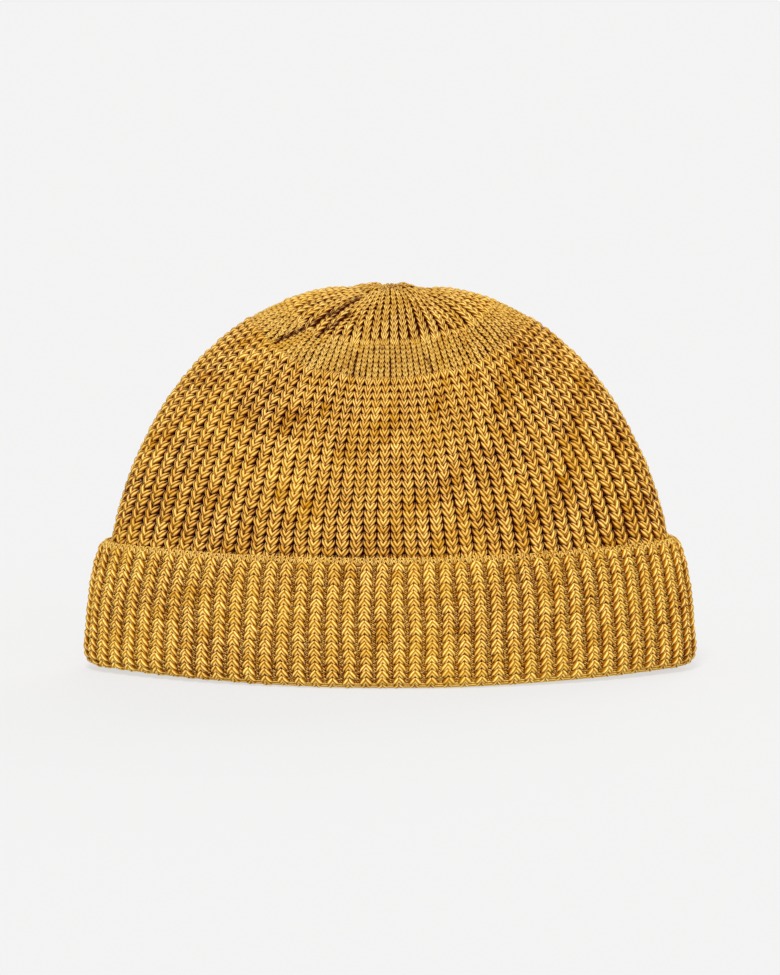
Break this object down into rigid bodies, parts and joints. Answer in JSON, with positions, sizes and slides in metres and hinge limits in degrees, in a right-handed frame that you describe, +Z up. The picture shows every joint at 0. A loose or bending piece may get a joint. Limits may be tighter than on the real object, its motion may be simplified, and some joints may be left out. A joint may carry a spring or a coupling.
{
  "type": "watch cap",
  "caption": "Chunky rib-knit watch cap with a rounded, drawn-in crown and a deep turned-up cuff, standing open on its folded rim.",
  "frame": {"origin": "on the surface the cap stands on, under the middle of its rim", "axes": "+Z up towards the drawn-in tip; -Y towards the front; +X to the wearer's left, seen as right from the front"},
  "size_m": [0.2304, 0.12, 0.1448],
  "materials": {
    "yarn": "soft matt plied yarn, mustard yellow"
  },
  "bodies": {
    "root": {"crown": "yarn", "cuff": "yarn"}
  },
  "joints": []
}
